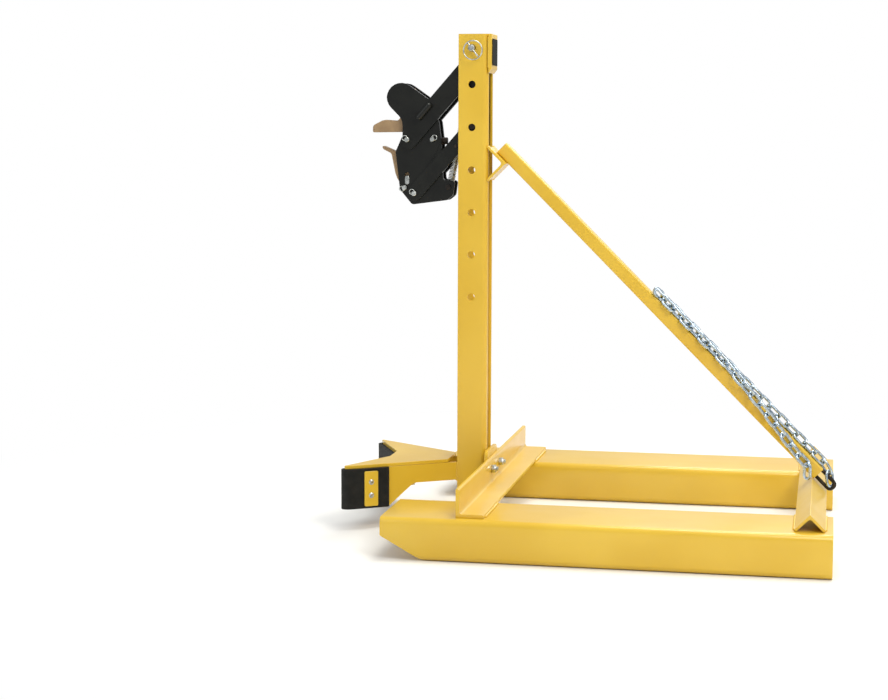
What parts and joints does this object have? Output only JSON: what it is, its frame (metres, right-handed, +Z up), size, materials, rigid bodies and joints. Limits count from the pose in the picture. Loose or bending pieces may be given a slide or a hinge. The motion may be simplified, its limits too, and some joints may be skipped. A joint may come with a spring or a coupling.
{
  "type": "fork-mounted drum lifter",
  "caption": "Forklift drum lifter: tubes that slip over the forks carry a braced mast with a height-adjustable, self-closing jaw head, a belted cradle and a safety chain.",
  "frame": {"origin": "on the floor, in the middle of the box round the whole lifter at rest", "axes": "+X from the drum towards the truck, +Y across the forks, +Z up; the drum stands on the -X side"},
  "size_m": [0.9236, 0.7874, 0.937],
  "materials": {
    "yellow_enamel": "safety yellow gloss enamel sprayed over welded steel",
    "black_enamel": "satin black enamel on flame-cut plate",
    "zinc_plate": "bright zinc plate",
    "bright_zinc_chain": "bluish bright zinc plate on welded links",
    "black_oxide_steel": "dark oiled steel",
    "tan_urethane": "matt tan cast urethane",
    "black_belting": "matt black ply belting"
  },
  "bodies": {
    "frame": {"base_bolt_far": "zinc_plate", "base_bolt_near": "zinc_plate", "base_nut_far": "zinc_plate", "base_nut_near": "zinc_plate", "blank_data_plate": "black_enamel", "brace_bracket": "yellow_enamel", "brace_tube": "yellow_enamel", "carriage": "black_enamel", "carriage_spring": "zinc_plate", "carriage_spring_pin": "zinc_plate", "chain_anchor": "black_oxide_steel", "cradle_belt": "black_belting", "cradle_far_wall": "yellow_enamel", "cradle_near_wall": "yellow_enamel", "cradle_saddle": "yellow_enamel", "cradle_top_plate": "yellow_enamel", "far_belt_clamp": "yellow_enamel", "far_belt_clamp_high_screw": "zinc_plate", "far_belt_clamp_low_screw": "zinc_plate", "far_fork_tube": "yellow_enamel", "front_cross_angle": "yellow_enamel", "lower_pivot_pin": "zinc_plate", "mast_base_plate": "yellow_enamel", "mast_far_rail": "yellow_enamel", "mast_near_rail": "yellow_enamel", "mast_top_strap": "yellow_enamel", "near_belt_clamp": "yellow_enamel", "near_belt_clamp_high_screw": "zinc_plate", "near_belt_clamp_low_screw": "zinc_plate", "near_fork_tube": "yellow_enamel", "rear_cross_angle": "yellow_enamel", "upper_pivot_pin": "zinc_plate"},
    "lower_arm": {"lower_arm_near": "black_enamel", "lower_arm_far": "black_enamel", "arm_spring_pin": "zinc_plate", "head_spring": "zinc_plate"},
    "head": {"head_near_plate": "black_enamel", "head_far_plate": "black_enamel", "head_spring_bolt": "black_oxide_steel", "upper_link_pin": "zinc_plate", "upper_link_cotter": "zinc_plate", "lower_link_pin": "zinc_plate", "lower_link_cotter": "zinc_plate", "stop_block_pin": "zinc_plate", "stop_block_cotter": "zinc_plate", "jaw_rest_pin": "zinc_plate", "jaw_rest_cotter": "zinc_plate", "stop_block": "black_oxide_steel", "stop_screw": "black_oxide_steel"},
    "lower_jaw": {"lower_jaw": "tan_urethane", "jaw_key": "zinc_plate"},
    "upper_jaw": {"upper_arm_near": "black_enamel", "upper_arm_far": "black_enamel", "upper_jaw": "tan_urethane"},
    "height_pin": {"height_pin": "zinc_plate", "lock_pin": "zinc_plate"},
    "lock_ring": {"lock_ring": "zinc_plate"},
    "chain": {"chain": "bright_zinc_chain"}
  },
  "joints": [
    {"name": "arm_swing", "type": "hinge", "parent": "frame", "child": "lower_arm", "pos_m": [-0.23527, 0, 0.763], "axis": [0, -1, 0], "range_deg": [-13, 8], "stiffness_Nm_per_rad": 20, "springref_deg": -10.03, "deforming": ["carriage_spring"]},
    {"name": "head_level", "type": "hinge", "parent": "lower_arm", "child": "head", "pos_m": [-0.34837, 0, 0.6344], "axis": [0, -1, 0], "range_deg": [-8, 13], "deforming": ["head_spring"]},
    {"name": "lower_jaw_slide", "type": "slide", "parent": "head", "child": "lower_jaw", "axis": [0, 0, 1], "range_m": [0, 0.006]},
    {"name": "jaw_swing", "type": "hinge", "parent": "frame", "child": "upper_jaw", "pos_m": [-0.24917, 0, 0.8661], "axis": [0, -1, 0], "range_deg": [-13, 8]},
    {"name": "height_pin_slide", "type": "slide", "parent": "frame", "child": "height_pin", "axis": [0, -1, 0], "range_m": [0, 0.095]},
    {"name": "lock_ring_swing", "type": "hinge", "parent": "height_pin", "child": "lock_ring", "pos_m": [-0.24486, -0.03775, 0.92258], "axis": [-0.788, 0, -0.6157], "range_deg": [0, 110]},
    {"name": "chain_lift", "type": "hinge", "parent": "frame", "child": "chain", "pos_m": [0.44967, 0, 0.09356], "axis": [0, 1, 0], "range_deg": [0, 100]}
  ],
  "couplings": [
    {"joint": "head_level", "follows": "arm_swing", "ratio": -1},
    {"joint": "jaw_swing", "follows": "arm_swing", "ratio": 1}
  ]
}
